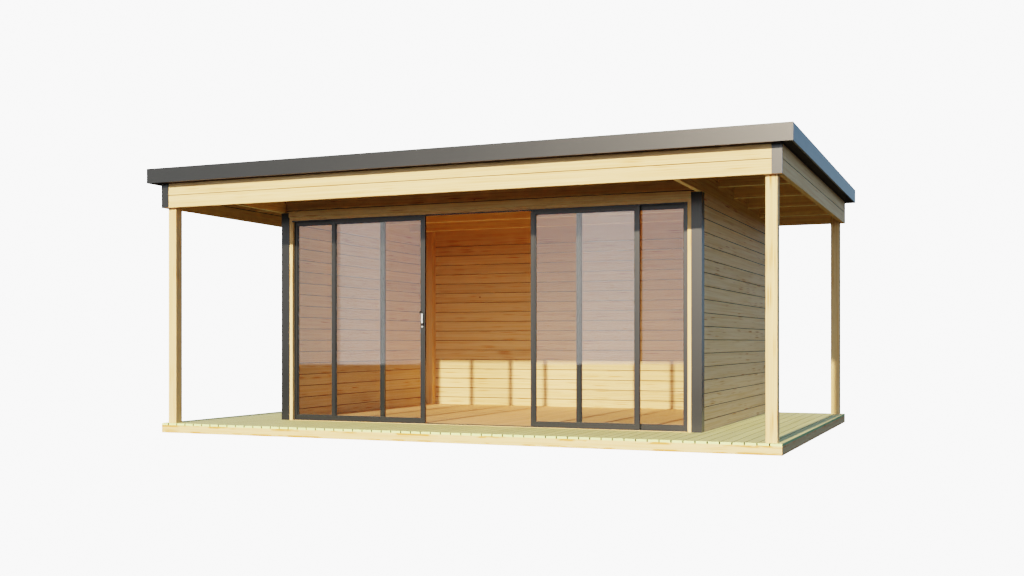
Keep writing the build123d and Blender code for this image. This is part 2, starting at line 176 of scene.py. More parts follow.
# The side boards are painted darker than the front and back ones, as painted shade.
FASCIA_SPRUCE = {"pale": "#DCBA86", "dark": "#D2AA75", "streak": "#C0823A", "knot": "#6A3E1A"}
SHADED_SIDE_SPRUCE = {"pale": "#C2A578", "dark": "#B89668", "streak": "#A87034", "knot": "#5C3618"}
RESIN = "#B8701F"
# Painted shade on the fascia's top face, where it shows through the deck's gaps.
FASCIA_GAP_SHADE = "#2A1F12"
RESIN_RUN = (0.26, 0.05)
EDGE_BAND = (0.024, 0.012)
fascia_spruce = timber("planed_spruce_fascia", "X", FASCIA_SPRUCE, streaks=0.7)
shaded_side_spruce = timber("planed_spruce_side_fascia_painted_shade", "Y", SHADED_SIDE_SPRUCE, streaks=0.7)
fascia_low, fascia_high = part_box("front_deck_fascia")
fascia_middle = (fascia_low.z + fascia_high.z) / 2
half_board = fascia_high.z - fascia_middle
for edged, grain in ((fascia_spruce, "X"), (shaded_side_spruce, "Y")):
    # Resin runs along the two long edges of the fascia board, in stretches of a quarter to half a metre.
    tree = edged.node_tree
    finish = tree.nodes["Principled BSDF"]
    place = fit(tree, "ShaderNodeTexCoord").outputs["Object"]
    upright = fit(tree, "ShaderNodeSeparateXYZ", {"Vector": place}).outputs["Z"]
    off = fit(tree, "ShaderNodeMath", {0: upright, 1: fascia_middle}, operation="SUBTRACT").outputs[0]
    off = fit(tree, "ShaderNodeMath", {0: off}, operation="ABSOLUTE").outputs[0]
    edge = fit(tree, "ShaderNodeMapRange", {"Value": off, "From Min": half_board - EDGE_BAND[0],
                                            "From Max": half_board - EDGE_BAND[1]})
    run = fit(tree, "ShaderNodeMapping", {"Vector": place, "Rotation": GRAIN_TURN[grain],
                                          "Scale": stretched(RESIN_RUN)}).outputs[0]
    run = fit(tree, "ShaderNodeTexNoise", {"Vector": run, "Scale": 1.0, "Detail": 3.0}).outputs["Fac"]
    run = fit(tree, "ShaderNodeMapRange", {"Value": run, "From Min": 0.51, "From Max": 0.58,
                                           "To Max": 0.75}).outputs[0]
    run = fit(tree, "ShaderNodeMath", {0: run, 1: edge.outputs[0]}, operation="MULTIPLY").outputs[0]
    plain = finish.inputs["Base Color"].links[0].from_socket
    edged_wood = fit(tree, "ShaderNodeMix", {0: run, 6: plain, 7: srgb(RESIN)}, data_type="RGBA").outputs[2]
    # The top face, seen through the gaps of the deck, is painted dark as painted shade.
    facing = fit(tree, "ShaderNodeNewGeometry").outputs["Normal"]
    facing = fit(tree, "ShaderNodeSeparateXYZ", {"Vector": facing}).outputs["Z"]
    shaded_top = fit(tree, "ShaderNodeMapRange", {"Value": facing, "From Min": 0.7, "From Max": 0.9}).outputs[0]
    edged_wood = fit(tree, "ShaderNodeMix", {0: shaded_top, 6: edged_wood, 7: srgb(FASCIA_GAP_SHADE)}, data_type="RGBA").outputs[2]
    tree.links.new(edged_wood, finish.inputs["Base Color"])
dress(fascia_spruce, "front_deck_fascia", "back_deck_fascia", "base_bearers")
dress(shaded_side_spruce, "side_deck_fascias")

# Deck boards: pressure treated pine, 95 mm wide with 5 mm gaps, laid from front to back over the bearers.
# The boards at the cabin's sides are ripped to the wall, and so is the first one at the left.
BOARD_WIDTH = 0.095
BOARD_GAP = 0.005
BOARD_EDGE = 0.001
BOARD_SEED = 7
deck_low, deck_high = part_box("front_deck")
wall_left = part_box("left_deck")[1].x
wall_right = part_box("right_deck")[0].x
deck_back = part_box("left_deck")[1].y
cuts = []
board_right = deck_high.x
while board_right > deck_low.x:
    board_left = max(board_right - BOARD_WIDTH, deck_low.x)
    if board_right <= wall_left or board_left >= wall_right:
        cuts.append((board_left, board_right, deck_low.y, deck_back))
    else:
        cuts.append((board_left, board_right, deck_low.y, deck_high.y))
        if board_left < wall_left:
            cuts.append((board_left, wall_left, deck_high.y, deck_back))
        if board_right > wall_right:
            cuts.append((wall_right, board_right, deck_high.y, deck_back))
    board_right = board_left - BOARD_GAP


def size_tree(name, sizes):
    """A new geometry tree with a named input for each size, and the node that gives them."""
    tree = bpy.data.node_groups.new(name, "GeometryNodeTree")
    tree.interface.new_socket("Geometry", in_out="INPUT", socket_type="NodeSocketGeometry")
    tree.interface.new_socket("Geometry", in_out="OUTPUT", socket_type="NodeSocketGeometry")
    for size, value in sizes.items():
        kind = "NodeSocketInt" if isinstance(value, int) else "NodeSocketFloat"
        tree.interface.new_socket(size, in_out="INPUT", socket_type=kind)
    return tree, fit(tree, "NodeGroupInput")


def lay(name, tree, sizes, points, attributes=()):
    """Runs a geometry tree on loose points and returns the result as a plain mesh object."""
    bed = bpy.data.meshes.new(name)
    bed.from_pydata(points, [], [])
    for label, values in dict(attributes).items():
        bed.attributes.new(label, "FLOAT", "POINT").data.foreach_set("value", values)
    carrier = bpy.data.objects.new(name + "_points", bed)
    bpy.context.scene.collection.objects.link(carrier)
    laid = carrier.modifiers.new("laid", "NODES")
    laid.node_group = tree
    known = {item.name: item.identifier for item in tree.interface.items_tree if item.in_out == "INPUT"}
    for size, value in sizes.items():
        laid[known[size]] = value
    bpy.context.view_layer.update()
    ready = carrier.evaluated_get(bpy.context.evaluated_depsgraph_get())
    mesh = bpy.data.meshes.new_from_object(ready)
    bpy.data.objects.remove(carrier)
    piece = bpy.data.objects.new(name, mesh)
    bpy.context.scene.collection.objects.link(piece)
    return piece


# Treated pine gives the eye a pale green cast, paler on the sawn ends and greener on the outer sides.
# The board sides in the gaps are painted dark, as painted shade.
TREATED_PINE = {"pale": "#C8C48A", "dark": "#B8B276", "streak": "#9C8B4A", "knot": "#6A5A2E"}
SAWN_END = "#CEDC94"
BOARD_SIDE = "#8FA477"
PAINTED_GAP_SHADE = "#2C2A18"
# How far the painted shade of the gaps reaches over the sawn ends.
END_GAP_SHADE = 0.0028
treated_pine = timber("treated_pine_decking", "Y", TREATED_PINE, streaks=0.35, roughness=0.7, board="board")
tree = treated_pine.node_tree
finish = tree.nodes["Principled BSDF"]
facing = fit(tree, "ShaderNodeNewGeometry").outputs["Normal"]
facing = fit(tree, "ShaderNodeVectorMath", {0: facing}, operation="ABSOLUTE").outputs[0]
facing = fit(tree, "ShaderNodeSeparateXYZ", {"Vector": facing}).outputs
ends = fit(tree, "ShaderNodeMapRange", {"Value": facing["Y"], "From Min": 0.6, "From Max": 0.9}).outputs[0]
sides = fit(tree, "ShaderNodeMapRange", {"Value": facing["X"], "From Min": 0.6, "From Max": 0.9}).outputs[0]
across = fit(tree, "ShaderNodeTexCoord").outputs["Object"]
across = fit(tree, "ShaderNodeSeparateXYZ", {"Vector": across}).outputs["X"]
outer = fit(tree, "ShaderNodeMath", {0: across}, operation="ABSOLUTE").outputs[0]
outer = fit(tree, "ShaderNodeMath", {0: outer, 1: deck_high.x - BOARD_GAP}, operation="GREATER_THAN").outputs[0]
# Painted shade from the gaps reaches a few millimetres over the corners of the sawn ends.
board_pitch = BOARD_WIDTH + BOARD_GAP
gap_middle = deck_high.x + BOARD_GAP / 2
board = fit(tree, "ShaderNodeMapRange", {"Value": across, "From Min": gap_middle,
                                         "From Max": gap_middle - board_pitch}, clamp=False).outputs[0]
board = fit(tree, "ShaderNodeMath", {0: board, 1: 0.5}, operation="PINGPONG").outputs[0]
reach = (BOARD_GAP / 2 + END_GAP_SHADE) / board_pitch
gap_shade_band = fit(tree, "ShaderNodeMapRange", {"Value": board, "From Min": reach * 1.1,
                                        "From Max": reach * 0.9}).outputs[0]
gap_shade_band = fit(tree, "ShaderNodeMath", {0: gap_shade_band, 1: outer}, operation="SUBTRACT", use_clamp=True).outputs[0]
sawn = fit(tree, "ShaderNodeMix", {0: gap_shade_band, 6: srgb(SAWN_END), 7: srgb(PAINTED_GAP_SHADE)}, data_type="RGBA").outputs[2]
wood = finish.inputs["Base Color"].links[0].from_socket
wood = fit(tree, "ShaderNodeMix", {0: ends, 6: wood, 7: sawn}, data_type="RGBA").outputs[2]
# Board sides inside the gaps get painted shade; the outermost side keeps its own colour.
edge = fit(tree, "ShaderNodeMix", {0: outer, 6: srgb(PAINTED_GAP_SHADE), 7: srgb(BOARD_SIDE)}, data_type="RGBA").outputs[2]
wood = fit(tree, "ShaderNodeMix", {0: sides, 6: wood, 7: edge}, data_type="RGBA").outputs[2]
tree.links.new(wood, finish.inputs["Base Color"])

board_sizes = {"Width": BOARD_WIDTH, "Thickness": deck_high.z - deck_low.z, "Edge": BOARD_EDGE,
               "Seed": BOARD_SEED}
board_tree, given = size_tree("decking", board_sizes)
section = fit(board_tree, "GeometryNodeCurvePrimitiveQuadrilateral",
              {"Width": given.outputs["Width"], "Height": given.outputs["Thickness"]})
section = fit(board_tree, "GeometryNodeFilletCurve", {"Curve": section.outputs[0], "Radius": given.outputs["Edge"],
                                                      "Count": 2, "Limit Radius": True}, mode="POLY")
run = fit(board_tree, "GeometryNodeCurvePrimitiveLine", {"End": (0.0, 1.0, 0.0)})
run = fit(board_tree, "GeometryNodeSetCurveNormal", {"Curve": run.outputs[0]}, mode="Z_UP")
plank = fit(board_tree, "GeometryNodeCurveToMesh", {"Curve": run.outputs[0], "Profile Curve": section.outputs[0],
                                                    "Fill Caps": True})
wide = fit(board_tree, "GeometryNodeInputNamedAttribute", {"Name": "wide"}, data_type="FLOAT")
long = fit(board_tree, "GeometryNodeInputNamedAttribute", {"Name": "long"}, data_type="FLOAT")
share = fit(board_tree, "ShaderNodeMath", {0: wide.outputs[0], 1: given.outputs["Width"]}, operation="DIVIDE")
scale = fit(board_tree, "ShaderNodeCombineXYZ", {"X": share.outputs[0], "Y": long.outputs[0], "Z": 1.0})
laid = fit(board_tree, "GeometryNodeInstanceOnPoints", {"Points": given.outputs["Geometry"],
                                                        "Instance": plank.outputs[0], "Scale": scale.outputs[0]})
chance = fit(board_tree, "FunctionNodeRandomValue", {"Seed": given.outputs["Seed"]}, data_type="FLOAT")
laid = fit(board_tree, "GeometryNodeStoreNamedAttribute", {"Geometry": laid.outputs[0], "Name": "board",
                                                           "Value": chance.outputs[1]},
           data_type="FLOAT", domain="INSTANCE")
laid = fit(board_tree, "GeometryNodeRealizeInstances", {"Geometry": laid.outputs[0]})
laid = fit(board_tree, "GeometryNodeSetShadeSmooth", {"Geometry": laid.outputs[0], "Shade Smooth": False})
laid = fit(board_tree, "GeometryNodeSetMaterial", {"Geometry": laid.outputs[0], "Material": treated_pine})
fit(board_tree, "NodeGroupOutput", {"Geometry": laid.outputs[0]})
deck_middle = (deck_low.z + deck_high.z) / 2
decking = lay("deck_boards", board_tree, board_sizes,
              [((left + right) / 2, near, deck_middle) for left, right, near, far in cuts],
              {"wide": [right - left for left, right, near, far in cuts],
               "long": [far - near for left, right, near, far in cuts]})
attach(decking, "cabin")
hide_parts("front_deck", "left_deck", "right_deck")

# Deck screws: stainless steel, two through each board into every bearer and into the fascia boards.
# Their heads are 8 mm wide and stand just above the wood.
SCREW_HEAD = 0.008
SCREW_TOP = 0.005
SCREW_RISE = 0.0006
SCREW_SIDES = 8
SCREW_FROM_EDGE = 0.020
BEARER_PITCH = 0.448
sill_line = (deck_high.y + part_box("door_head")[1].y) / 2
fascia_half = (fascia_high.y - fascia_low.y) / 2
screw_rows = [deck_low.y + fascia_half, deck_back - fascia_half]
bearer_line = sill_line
while bearer_line - BEARER_PITCH > fascia_high.y:
    bearer_line -= BEARER_PITCH
while bearer_line < deck_back - 2 * fascia_half:
    screw_rows.append(bearer_line)
    bearer_line += BEARER_PITCH
screws = []
for left, right, near, far in cuts:
    across = (left + SCREW_FROM_EDGE, right - SCREW_FROM_EDGE)
    if right - left < 3 * SCREW_FROM_EDGE:
        across = ((left + right) / 2,)
    screws += [(x, y, deck_high.z) for y in screw_rows if near < y < far for x in across]

# Satin stainless steel is bright and a little cool, and its brush marks spread the highlight.
# Real marks are finer, and are drawn 1.2 mm wide so that they show.
BRUSH_MARK = (0.0012, 0.02)
STEEL_TONES = ("#D0D0CE", "#E2E2E0")
satin_steel, tree = blank("satin_stainless_steel")
marks = fit(tree, "ShaderNodeTexCoord").outputs["Object"]
marks = fit(tree, "ShaderNodeMapping", {"Vector": marks, "Scale": (1 / BRUSH_MARK[0], 1 / BRUSH_MARK[0],
                                                                   1 / BRUSH_MARK[1])}).outputs[0]
marks = fit(tree, "ShaderNodeTexNoise", {"Vector": marks, "Scale": 1.0, "Detail": 2.0}).outputs["Fac"]
brushed = fit(tree, "ShaderNodeMapRange", {"Value": marks, "To Min": 0.26, "To Max": 0.38}).outputs[0]
tone = fit(tree, "ShaderNodeMix", {0: marks, 6: srgb(STEEL_TONES[0]), 7: srgb(STEEL_TONES[1])},
           data_type="RGBA").outputs[2]
finish = fit(tree, "ShaderNodeBsdfPrincipled", {"Base Color": tone, "Metallic": 1.0, "Roughness": brushed})
fit(tree, "ShaderNodeOutputMaterial", {"Surface": finish.outputs[0]})

screw_sizes = {"Head": SCREW_HEAD / 2, "Top": SCREW_TOP / 2, "Rise": 2 * SCREW_RISE, "Sides": SCREW_SIDES}
screw_tree, given = size_tree("deck_screws", screw_sizes)
head = fit(screw_tree, "GeometryNodeMeshCone", {"Vertices": given.outputs["Sides"],
                                                "Radius Top": given.outputs["Top"],
                                                "Radius Bottom": given.outputs["Head"],
                                                "Depth": given.outputs["Rise"]})
half_rise = fit(screw_tree, "ShaderNodeMath", {0: given.outputs["Rise"], 1: -0.5}, operation="MULTIPLY")
sunk = fit(screw_tree, "ShaderNodeCombineXYZ", {"Z": half_rise.outputs[0]})
head = fit(screw_tree, "GeometryNodeTransform", {"Geometry": head.outputs[0], "Translation": sunk.outputs[0]})
laid = fit(screw_tree, "GeometryNodeInstanceOnPoints", {"Points": given.outputs["Geometry"],
                                                        "Instance": head.outputs[0]})
laid = fit(screw_tree, "GeometryNodeRealizeInstances", {"Geometry": laid.outputs[0]})
laid = fit(screw_tree, "GeometryNodeSetMaterial", {"Geometry": laid.outputs[0], "Material": satin_steel})
fit(screw_tree, "NodeGroupOutput", {"Geometry": laid.outputs[0]})
screw_heads = lay("deck_screws", screw_tree, screw_sizes, screws)
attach(screw_heads, "cabin")

# Log walls: planed spruce logs, 120.5 mm high, stacked with a fine groove at each joint and no finish.
# Each log is a piece of wood of its own, with brown streaks along it and a dark line at the joint.
LOG_HEIGHT = 0.1205
LOG_JOINT = 0.0085
LOG_SPRUCE = {"pale": "#DABA8B", "dark": "#CBA571", "streak": "#A8662C", "knot": "#6E421C"}
wall_courses = ("Z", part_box("back_wall")[0].z, LOG_HEIGHT, LOG_JOINT)
logs_across = timber("spruce_logs_across", "X", LOG_SPRUCE, streaks=0.95, courses=wall_courses)
logs_along = timber("spruce_logs_along", "Y", LOG_SPRUCE, streaks=0.95, courses=wall_courses)
dress(logs_across, "back_wall")
dress(logs_along, "left_wall", "right_wall")

# Header: two spruce logs over the doorway, let into the corner posts, and a planed cover board nailed on them.
# The wood is a little greyer than the walls.
HEADER_SPRUCE = {"pale": "#CEB78A", "dark": "#BFA270", "streak": "#9C642C", "knot": "#6E421C"}
header_logs = timber("spruce_header_logs", "X", HEADER_SPRUCE, streaks=0.95, courses=wall_courses)
dress(header_logs, "front_header", "header_board")

# Corner posts and door lining: planed spruce, cut square, with the grain along each piece.
# The front posts stand behind the metal trims, and the lining is nailed between them, almost flush.
SPRUCE = {"pale": "#DAB987", "dark": "#CEA571", "streak": "#B06C24", "knot": "#5E3416"}
upright_spruce = timber("planed_spruce_upright", "Z", SPRUCE, streaks=0.9)
across_spruce = timber("planed_spruce_across", "X", SPRUCE, streaks=0.6)
dress(upright_spruce, "cabin_front_left_post", "cabin_front_right_post", "cabin_back_posts", "door_jambs")
dress(across_spruce, "door_sill", "door_head")

# Cabin floor: tongued spruce boards, 120 mm wide and left plain.
# They are laid from front to back, close together, and nailed to the bearers.
FLOOR_BOARD = 0.120
FLOOR_JOINT = 0.0015
FLOOR_SPRUCE = {"pale": "#DAAE80", "dark": "#CF9F6F", "streak": "#A8692C", "knot": "#5E3416"}
floor_courses = ("X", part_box("cabin_floor")[0].x, FLOOR_BOARD, FLOOR_JOINT)
floor_spruce = timber("spruce_floor_boards", "Y", FLOOR_SPRUCE, streaks=0.5, courses=floor_courses)
dress(floor_spruce, "cabin_floor")

# Door tracks and frames: extruded aluminium sections, mitred and screwed at the corners.
# They are powder coated in anthracite.
ANTHRACITE = "#0E1010"
ANTHRACITE_CLOUD = "#141616"
COAT_ROUGHNESS = 0.34
COAT_PEEL = 0.002
COAT_CLOUD = 0.35


def powder_coat(name, colour, cloud, roughness):
    """Powder coating: a dark even colour whose fine orange peel spreads the highlight and clouds it a little."""
    made, tree = blank(name)
    place = fit(tree, "ShaderNodeTexCoord").outputs["Object"]
    peel = fit(tree, "ShaderNodeTexNoise", {"Vector": place, "Scale": 1 / COAT_PEEL, "Detail": 2.0}).outputs["Fac"]
    relief = fit(tree, "ShaderNodeBump", {"Height": peel, "Strength": 0.03, "Distance": 0.001}).outputs[0]
    drift = fit(tree, "ShaderNodeTexNoise", {"Vector": place, "Scale": 1 / COAT_CLOUD,
                                             "Detail": 3.0}).outputs["Fac"]
    tone = fit(tree, "ShaderNodeMix", {0: drift, 6: srgb(colour), 7: srgb(cloud)}, data_type="RGBA").outputs[2]
    satin = fit(tree, "ShaderNodeMapRange", {"Value": drift, "To Min": roughness - 0.02,
                                             "To Max": roughness + 0.02})
    finish = fit(tree, "ShaderNodeBsdfPrincipled", {"Base Color": tone, "Roughness": satin.outputs[0],
                                                    "Normal": relief, "Specular IOR Level": 0.43,
                                                    "Coat Weight": 0.22, "Coat Roughness": 0.12,
                                                    "Coat IOR": 1.5})
    fit(tree, "ShaderNodeOutputMaterial", {"Surface": finish.outputs[0]})
    return made


anthracite = powder_coat("anthracite_powder_coat", ANTHRACITE, ANTHRACITE_CLOUD, COAT_ROUGHNESS)
dress(anthracite, "door_tracks", "left_fixed_frame", "right_fixed_frame", "left_leaf_frame", "right_leaf_frame")

# Panes: clear toughened glass, held in a groove of the frame.
# It mirrors the bright front like a pale veil, and lets the sun and soft light through.
GLASS_IOR = 1.5
GLASS_TINT = "#FAFCFB"
LIGHT_LOSS = "#F6F6F4"
clear_glass, tree = blank("clear_toughened_glass")
solid_glass = fit(tree, "ShaderNodeBsdfPrincipled", {"Base Color": srgb(GLASS_TINT), "Roughness": 0.0,
                                                     "IOR": GLASS_IOR, "Transmission Weight": 1.0})
let_through = fit(tree, "ShaderNodeBsdfTransparent", {"Color": srgb(LIGHT_LOSS)})
path = fit(tree, "ShaderNodeLightPath").outputs
soft_gloss = fit(tree, "ShaderNodeMath", {0: path["Is Glossy Ray"], 1: path["Is Singular Ray"]},
                 operation="SUBTRACT")
passing = fit(tree, "ShaderNodeMath", {0: path["Is Shadow Ray"], 1: path["Is Diffuse Ray"]}, operation="MAXIMUM")
passing = fit(tree, "ShaderNodeMath", {0: passing.outputs[0], 1: soft_gloss.outputs[0]}, operation="MAXIMUM")
pane = fit(tree, "ShaderNodeMixShader", {0: passing.outputs[0], 1: solid_glass.outputs[0],
                                         2: let_through.outputs[0]})
fit(tree, "ShaderNodeOutputMaterial", {"Surface": pane.outputs[0]})
dress(clear_glass, "left_fixed_glass", "right_fixed_glass", "left_leaf_glass", "right_leaf_glass")

# Glazing strips: a thin strip of black rubber round both faces of each pane.
# It is cut from a roll and pressed between the glass and its bead.
STRIP = 0.003
GLASS_BITE = 0.008

# Extruded rubber is a soft matt black, a little paler where it is dusty.
DUST = 0.012
RUBBER_TONES = ("#0C0C0C", "#1C1C1C")
black_rubber, tree = blank("extruded_black_rubber")
dust = fit(tree, "ShaderNodeTexCoord").outputs["Object"]
dust = fit(tree, "ShaderNodeTexNoise", {"Vector": dust, "Scale": 1 / DUST, "Detail": 3.0}).outputs["Fac"]
tone = fit(tree, "ShaderNodeMix", {0: dust, 6: srgb(RUBBER_TONES[0]), 7: srgb(RUBBER_TONES[1])},
           data_type="RGBA").outputs[2]
dull = fit(tree, "ShaderNodeMapRange", {"Value": dust, "To Min": 0.55, "To Max": 0.75}).outputs[0]
finish = fit(tree, "ShaderNodeBsdfPrincipled", {"Base Color": tone, "Roughness": dull})
fit(tree, "ShaderNodeOutputMaterial", {"Surface": finish.outputs[0]})

for strip_name, body, panes in (
        ("fixed_glazing_strips", "cabin", ("left_fixed_glass", "right_fixed_glass")),
        ("left_leaf_glazing_strips", "left_leaf", ("left_leaf_glass",)),
        ("right_leaf_glazing_strips", "right_leaf", ("right_leaf_glass",))):
    glass_low, glass_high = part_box(panes[0])
    strip_sizes = {"Width": glass_high.x - glass_low.x - 2 * GLASS_BITE - STRIP,
                   "Height": glass_high.z - glass_low.z - 2 * GLASS_BITE - STRIP, "Strip": STRIP}
    strip_tree, given = size_tree(strip_name, strip_sizes)
    ring = fit(strip_tree, "GeometryNodeCurvePrimitiveQuadrilateral", {"Width": given.outputs["Width"],
                                                                       "Height": given.outputs["Height"]})
    ring = fit(strip_tree, "GeometryNodeTransform", {"Geometry": ring.outputs[0],
                                                     "Rotation": (math.pi / 2, 0.0, 0.0)})
    section = fit(strip_tree, "GeometryNodeCurvePrimitiveQuadrilateral", {"Width": given.outputs["Strip"],
                                                                          "Height": given.outputs["Strip"]})
    strip = fit(strip_tree, "GeometryNodeCurveToMesh", {"Curve": ring.outputs[0],
                                                        "Profile Curve": section.outputs[0]})
    laid = fit(strip_tree, "GeometryNodeInstanceOnPoints", {"Points": given.outputs["Geometry"],
                                                            "Instance": strip.outputs[0]})
    laid = fit(strip_tree, "GeometryNodeRealizeInstances", {"Geometry": laid.outputs[0]})
    laid = fit(strip_tree, "GeometryNodeSetShadeSmooth", {"Geometry": laid.outputs[0], "Shade Smooth": False})
    laid = fit(strip_tree, "GeometryNodeSetMaterial", {"Geometry": laid.outputs[0], "Material": black_rubber})
    fit(strip_tree, "NodeGroupOutput", {"Geometry": laid.outputs[0]})
    faces = []
    for glass in panes:
        low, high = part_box(glass)
        middle = (low + high) / 2
        faces += [(middle.x, low.y - STRIP / 2, middle.z), (middle.x, high.y + STRIP / 2, middle.z)]
    strips = lay(strip_name, strip_tree, strip_sizes, faces)
    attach(strips, body)

# Handle: a satin steel bar between two black moulded mounts, and a steel lock cylinder below it.
# The mounts are screwed through the leaf's stile.

# Moulded nylon is near black, with a fine spark eroded grain that is drawn 1.5 mm wide so that it shows.
NYLON_GRAIN = 0.0015
NYLON_TONES = ("#0E0E0E", "#161616")
NYLON_ROUGHNESS = 0.5
black_nylon, tree = blank("black_moulded_nylon")
grain = fit(tree, "ShaderNodeTexCoord").outputs["Object"]
grain = fit(tree, "ShaderNodeTexNoise", {"Vector": grain, "Scale": 1 / NYLON_GRAIN, "Detail": 2.0}).outputs["Fac"]
relief = fit(tree, "ShaderNodeBump", {"Height": grain, "Strength": 0.2, "Distance": 0.0003}).outputs[0]
tone = fit(tree, "ShaderNodeMix", {0: grain, 6: srgb(NYLON_TONES[0]), 7: srgb(NYLON_TONES[1])},
           data_type="RGBA").outputs[2]
finish = fit(tree, "ShaderNodeBsdfPrincipled", {"Base Color": tone, "Roughness": NYLON_ROUGHNESS,
                                                "Normal": relief})
fit(tree, "ShaderNodeOutputMaterial", {"Surface": finish.outputs[0]})
dress(satin_steel, "handle_bar", "lock_cylinder")
dress(black_nylon, "handle_mounts")

# Veranda posts and ring beam: planed spruce. The posts have a fine chamfer, and stand on the deck.
# The back posts are painted darker, as painted shade. The beam is two logs high, with a groove between them.
BEAM_JOINT = 0.0062
# The back posts' darker colour is painted shade.
SHADED_BACK_SPRUCE = {"pale": "#C6A97B", "dark": "#BB9767", "streak": "#A06424", "knot": "#5E3416"}
shaded_back_spruce = timber("planed_spruce_back_posts_painted_shade", "Z", SHADED_BACK_SPRUCE, streaks=0.9)
dress(upright_spruce, "veranda_front_left_post", "veranda_front_right_post")
dress(shaded_back_spruce, "veranda_back_left_post", "veranda_back_right_post")
beam_courses = ("Z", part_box("front_beam")[0].z, LOG_HEIGHT, BEAM_JOINT)
beam_across = timber("spruce_beam_across", "X", SPRUCE, streaks=0.55, tone=0.03, courses=beam_courses)
beam_along = timber("spruce_beam_along", "Y", SPRUCE, streaks=0.55, tone=0.03, courses=beam_courses)
dress(beam_across, "front_beam", "back_beam")
dress(beam_along, "left_beam", "right_beam")

# Plates and joists: planed spruce on edge, nailed to the beams and walls, with blocking between the joists.
# They show from below in the veranda and the room.
ROOF_SPRUCE = {"pale": "#DBBC82", "dark": "#CFA86D", "streak": "#A0682A", "knot": "#5E3416"}
# Painted light on the lower edges of the plates and joists.
LIT_LOWER_EDGE = "#F6E4BE"
plate_spruce = timber("planed_spruce_plates", "Y", ROOF_SPRUCE, streaks=0.6)
joist_spruce = timber("planed_spruce_joists", "X", ROOF_SPRUCE, streaks=0.6)
for planed in (plate_spruce, joist_spruce):
    # The lower edge is painted paler, as painted light bounced up from the deck.
    tree = planed.node_tree
    finish = tree.nodes["Principled BSDF"]
    facing = fit(tree, "ShaderNodeNewGeometry").outputs["Normal"]
    facing = fit(tree, "ShaderNodeSeparateXYZ", {"Vector": facing}).outputs["Z"]
    under = fit(tree, "ShaderNodeMapRange", {"Value": facing, "From Min": -0.7, "From Max": -0.9, "To Max": 0.6})
    wood = finish.inputs["Base Color"].links[0].from_socket
    wood = fit(tree, "ShaderNodeMix", {0: under.outputs[0], 6: wood, 7: srgb(LIT_LOWER_EDGE)},
               data_type="RGBA").outputs[2]
    tree.links.new(wood, finish.inputs["Base Color"])
dress(plate_spruce, "left_plate", "right_plate", "joist_blocking")
dress(joist_spruce, "roof_joists")

# Roof boards: tongued spruce boards, 96 mm wide and left plain below.
# They are nailed across the joists and run from front to back.
ROOF_BOARD = 0.096
ROOF_JOINT = 0.003
roof_courses = ("X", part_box("roof_boards")[0].x, ROOF_BOARD, ROOF_JOINT)
roof_spruce = timber("spruce_roof_boards", "Y", ROOF_SPRUCE, streaks=0.6, courses=roof_courses)
dress(roof_spruce, "roof_boards")

# Roof covering: a rubber membrane in sheets a metre wide, lapped and glued to the boards.
# It is turned up against the eaves boxes.
SHEET_WIDTH = 1.05
SHEET_LAP = 0.05
SHEET_CLOUD = 0.6
SHEET_GRIT = 0.004
UPSTAND = 0.002
UPSTAND_DROP = 0.004

# The membrane is a matt black that weathers in pale clouds, with a smooth dark band at each lap.
SHEET_TONES = ("#202121", "#3A3B3B")
LAP_TONE = "#1A1B1B"
membrane, tree = blank("weathered_rubber_membrane")
place = fit(tree, "ShaderNodeTexCoord").outputs["Object"]
cloud = fit(tree, "ShaderNodeTexNoise", {"Vector": place, "Scale": 1 / SHEET_CLOUD, "Detail": 5.0}).outputs["Fac"]
tone = fit(tree, "ShaderNodeMix", {0: cloud, 6: srgb(SHEET_TONES[0]), 7: srgb(SHEET_TONES[1])},
           data_type="RGBA").outputs[2]
across = fit(tree, "ShaderNodeSeparateXYZ", {"Vector": place}).outputs["X"]
lap = fit(tree, "ShaderNodeMath", {0: across, 1: SHEET_WIDTH}, operation="FLOORED_MODULO").outputs[0]
lap = fit(tree, "ShaderNodeMapRange", {"Value": lap, "From Min": SHEET_LAP,
                                       "From Max": SHEET_LAP * 0.9}).outputs[0]
tone = fit(tree, "ShaderNodeMix", {0: lap, 6: tone, 7: srgb(LAP_TONE)}, data_type="RGBA").outputs[2]
grit = fit(tree, "ShaderNodeTexNoise", {"Vector": place, "Scale": 1 / SHEET_GRIT, "Detail": 2.0}).outputs["Fac"]
grit = fit(tree, "ShaderNodeMath", {0: grit, 1: lap}, operation="ADD").outputs[0]
relief = fit(tree, "ShaderNodeBump", {"Height": grit, "Strength": 0.3, "Distance": 0.001}).outputs[0]
dull = fit(tree, "ShaderNodeMapRange", {"Value": cloud, "To Min": 0.7, "To Max": 0.9}).outputs[0]
finish = fit(tree, "ShaderNodeBsdfPrincipled", {"Base Color": tone, "Roughness": dull, "Normal": relief})
fit(tree, "ShaderNodeOutputMaterial", {"Surface": finish.outputs[0]})
dress(membrane, "roof_membrane")

